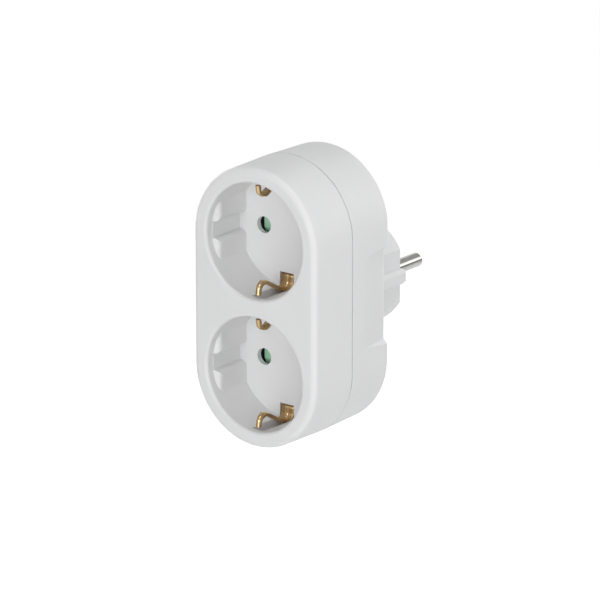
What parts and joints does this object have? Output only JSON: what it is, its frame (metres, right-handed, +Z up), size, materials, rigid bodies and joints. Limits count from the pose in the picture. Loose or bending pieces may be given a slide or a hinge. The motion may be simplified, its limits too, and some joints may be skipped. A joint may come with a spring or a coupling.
{
  "type": "multi socket adapter",
  "caption": "Two-way earthed round-socket adapter with one socket well above the other, a two-pin earthed plug body on the back and turning pin-hole shutters inside.",
  "frame": {"origin": "middle of the plug's pin-side face, on the plug axis", "axes": "+Y the way the plug pins point, into the wall; -Y the way the sockets face; +Z up through both socket axes; +X to the right as seen from the front"},
  "size_m": [0.0514, 0.079, 0.0972],
  "materials": {
    "white_shell": "fine satin moulded plastic",
    "carrier_plastic": "plain moulded plastic",
    "green_shutter": "plain moulded plastic",
    "clip_brass": "rolled brass strip, slightly brushed",
    "contact_brass": "rolled brass strip",
    "plated_pin": "turned and nickel plated",
    "spring_wire": "drawn wire",
    "zinc_screw": "zinc plated"
  },
  "bodies": {
    "housing": {"front_shell": "white_shell", "back_shell": "white_shell", "contact_carrier": "carrier_plastic", "shutter_spring_upper": "spring_wire", "shutter_spring_lower": "spring_wire", "earth_bridge_upper": "clip_brass", "earth_bridge_lower": "clip_brass", "earth_bar": "clip_brass", "earth_link": "clip_brass", "plug_earth_strap": "clip_brass", "plug_earth_sleeve": "contact_brass", "contact_upper_left": "contact_brass", "contact_upper_right": "contact_brass", "contact_lower_left": "contact_brass", "contact_lower_right": "contact_brass", "supply_bar_left": "contact_brass", "supply_bar_right": "contact_brass", "plug_pin_left": "plated_pin", "plug_pin_right": "plated_pin", "casing_screws": "zinc_screw", "earth_rivets": "contact_brass"},
    "upper_shutter": {"shutter_upper": "green_shutter"},
    "lower_shutter": {"shutter_lower": "green_shutter"}
  },
  "joints": [
    {"name": "upper_shutter_turn", "type": "hinge", "parent": "housing", "child": "upper_shutter", "pos_m": [0, -0.03795, 0.023], "axis": [0, 1, 0], "range_deg": [0, 45], "stiffness_Nm_per_rad": 0.002, "springref_deg": -34.38, "deforming": ["shutter_spring_upper"]},
    {"name": "lower_shutter_turn", "type": "hinge", "parent": "housing", "child": "lower_shutter", "pos_m": [0, -0.03795, -0.023], "axis": [0, 1, 0], "range_deg": [0, 45], "stiffness_Nm_per_rad": 0.002, "springref_deg": -34.38, "deforming": ["shutter_spring_lower"]}
  ]
}
